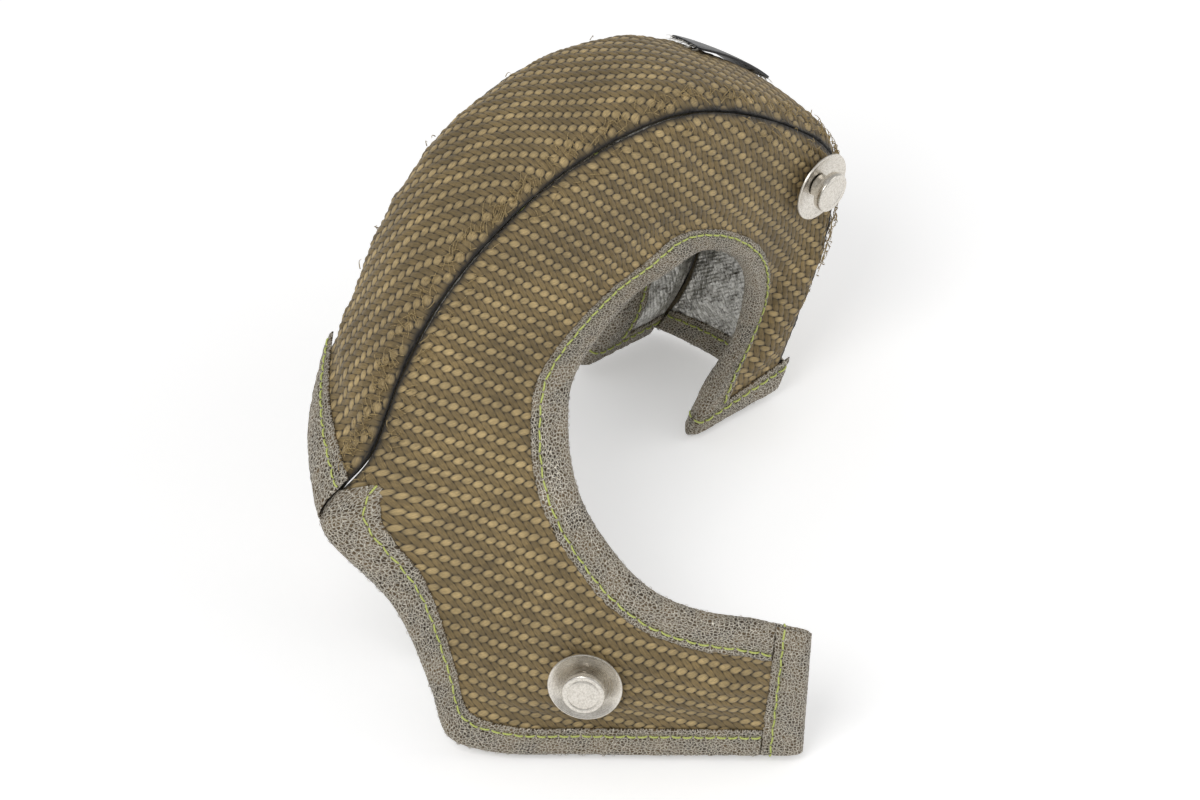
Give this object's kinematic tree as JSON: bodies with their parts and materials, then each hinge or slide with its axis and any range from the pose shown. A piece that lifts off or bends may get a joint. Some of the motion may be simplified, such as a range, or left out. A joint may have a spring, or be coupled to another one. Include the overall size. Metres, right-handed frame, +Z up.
{
  "type": "turbo heat blanket",
  "caption": "Quilted C-shaped heat blanket for a turbine housing, woven outer cloth, metallised lining, mesh-bound edges and lacing studs, standing open on its ends",
  "frame": {"origin": "middle of the footprint, at the level of the feet", "axes": "+Z up as it stands, -Y the side of the face panel, +X from the long leg's side to the short leg's side"},
  "size_m": [0.1684, 0.1964, 0.1265],
  "materials": {
    "cover_cloth": "olive-khaki 2/2 twill of flat fibre tows, low sheen",
    "felt": "needled fibre felt, hidden",
    "foil_lining": "crinkled silver metallised cloth",
    "mesh_tape": "knitted fine wire mesh tape over cloth, grey",
    "stud_steel": "turned stainless steel",
    "label_black": "black satin, bare"
  },
  "bodies": {
    "root": {"face_cover": "cover_cloth", "face_felt": "felt", "face_lining": "foil_lining", "crown_cover": "cover_cloth", "crown_felt": "felt", "crown_lining": "foil_lining", "rear_cover": "cover_cloth", "rear_felt": "felt", "rear_lining": "foil_lining", "lower_face_stud": "stud_steel", "lower_face_washer": "stud_steel", "lower_face_backing_washer": "stud_steel", "upper_face_stud": "stud_steel", "upper_face_washer": "stud_steel", "upper_face_backing_washer": "stud_steel", "left_rear_stud": "stud_steel", "left_rear_washer": "stud_steel", "left_rear_backing_washer": "stud_steel", "right_rear_stud": "stud_steel", "right_rear_washer": "stud_steel", "right_rear_backing_washer": "stud_steel", "face_opening_binding": "mesh_tape", "long_leg_side_binding": "mesh_tape", "long_leg_end_binding": "mesh_tape", "short_leg_foot_binding": "mesh_tape", "crown_left_binding": "mesh_tape", "crown_right_binding": "mesh_tape", "rear_opening_binding": "mesh_tape", "rear_left_side_binding": "mesh_tape", "rear_left_foot_binding": "mesh_tape", "rear_right_foot_binding": "mesh_tape", "label_plate": "label_black"}
  },
  "joints": []
}
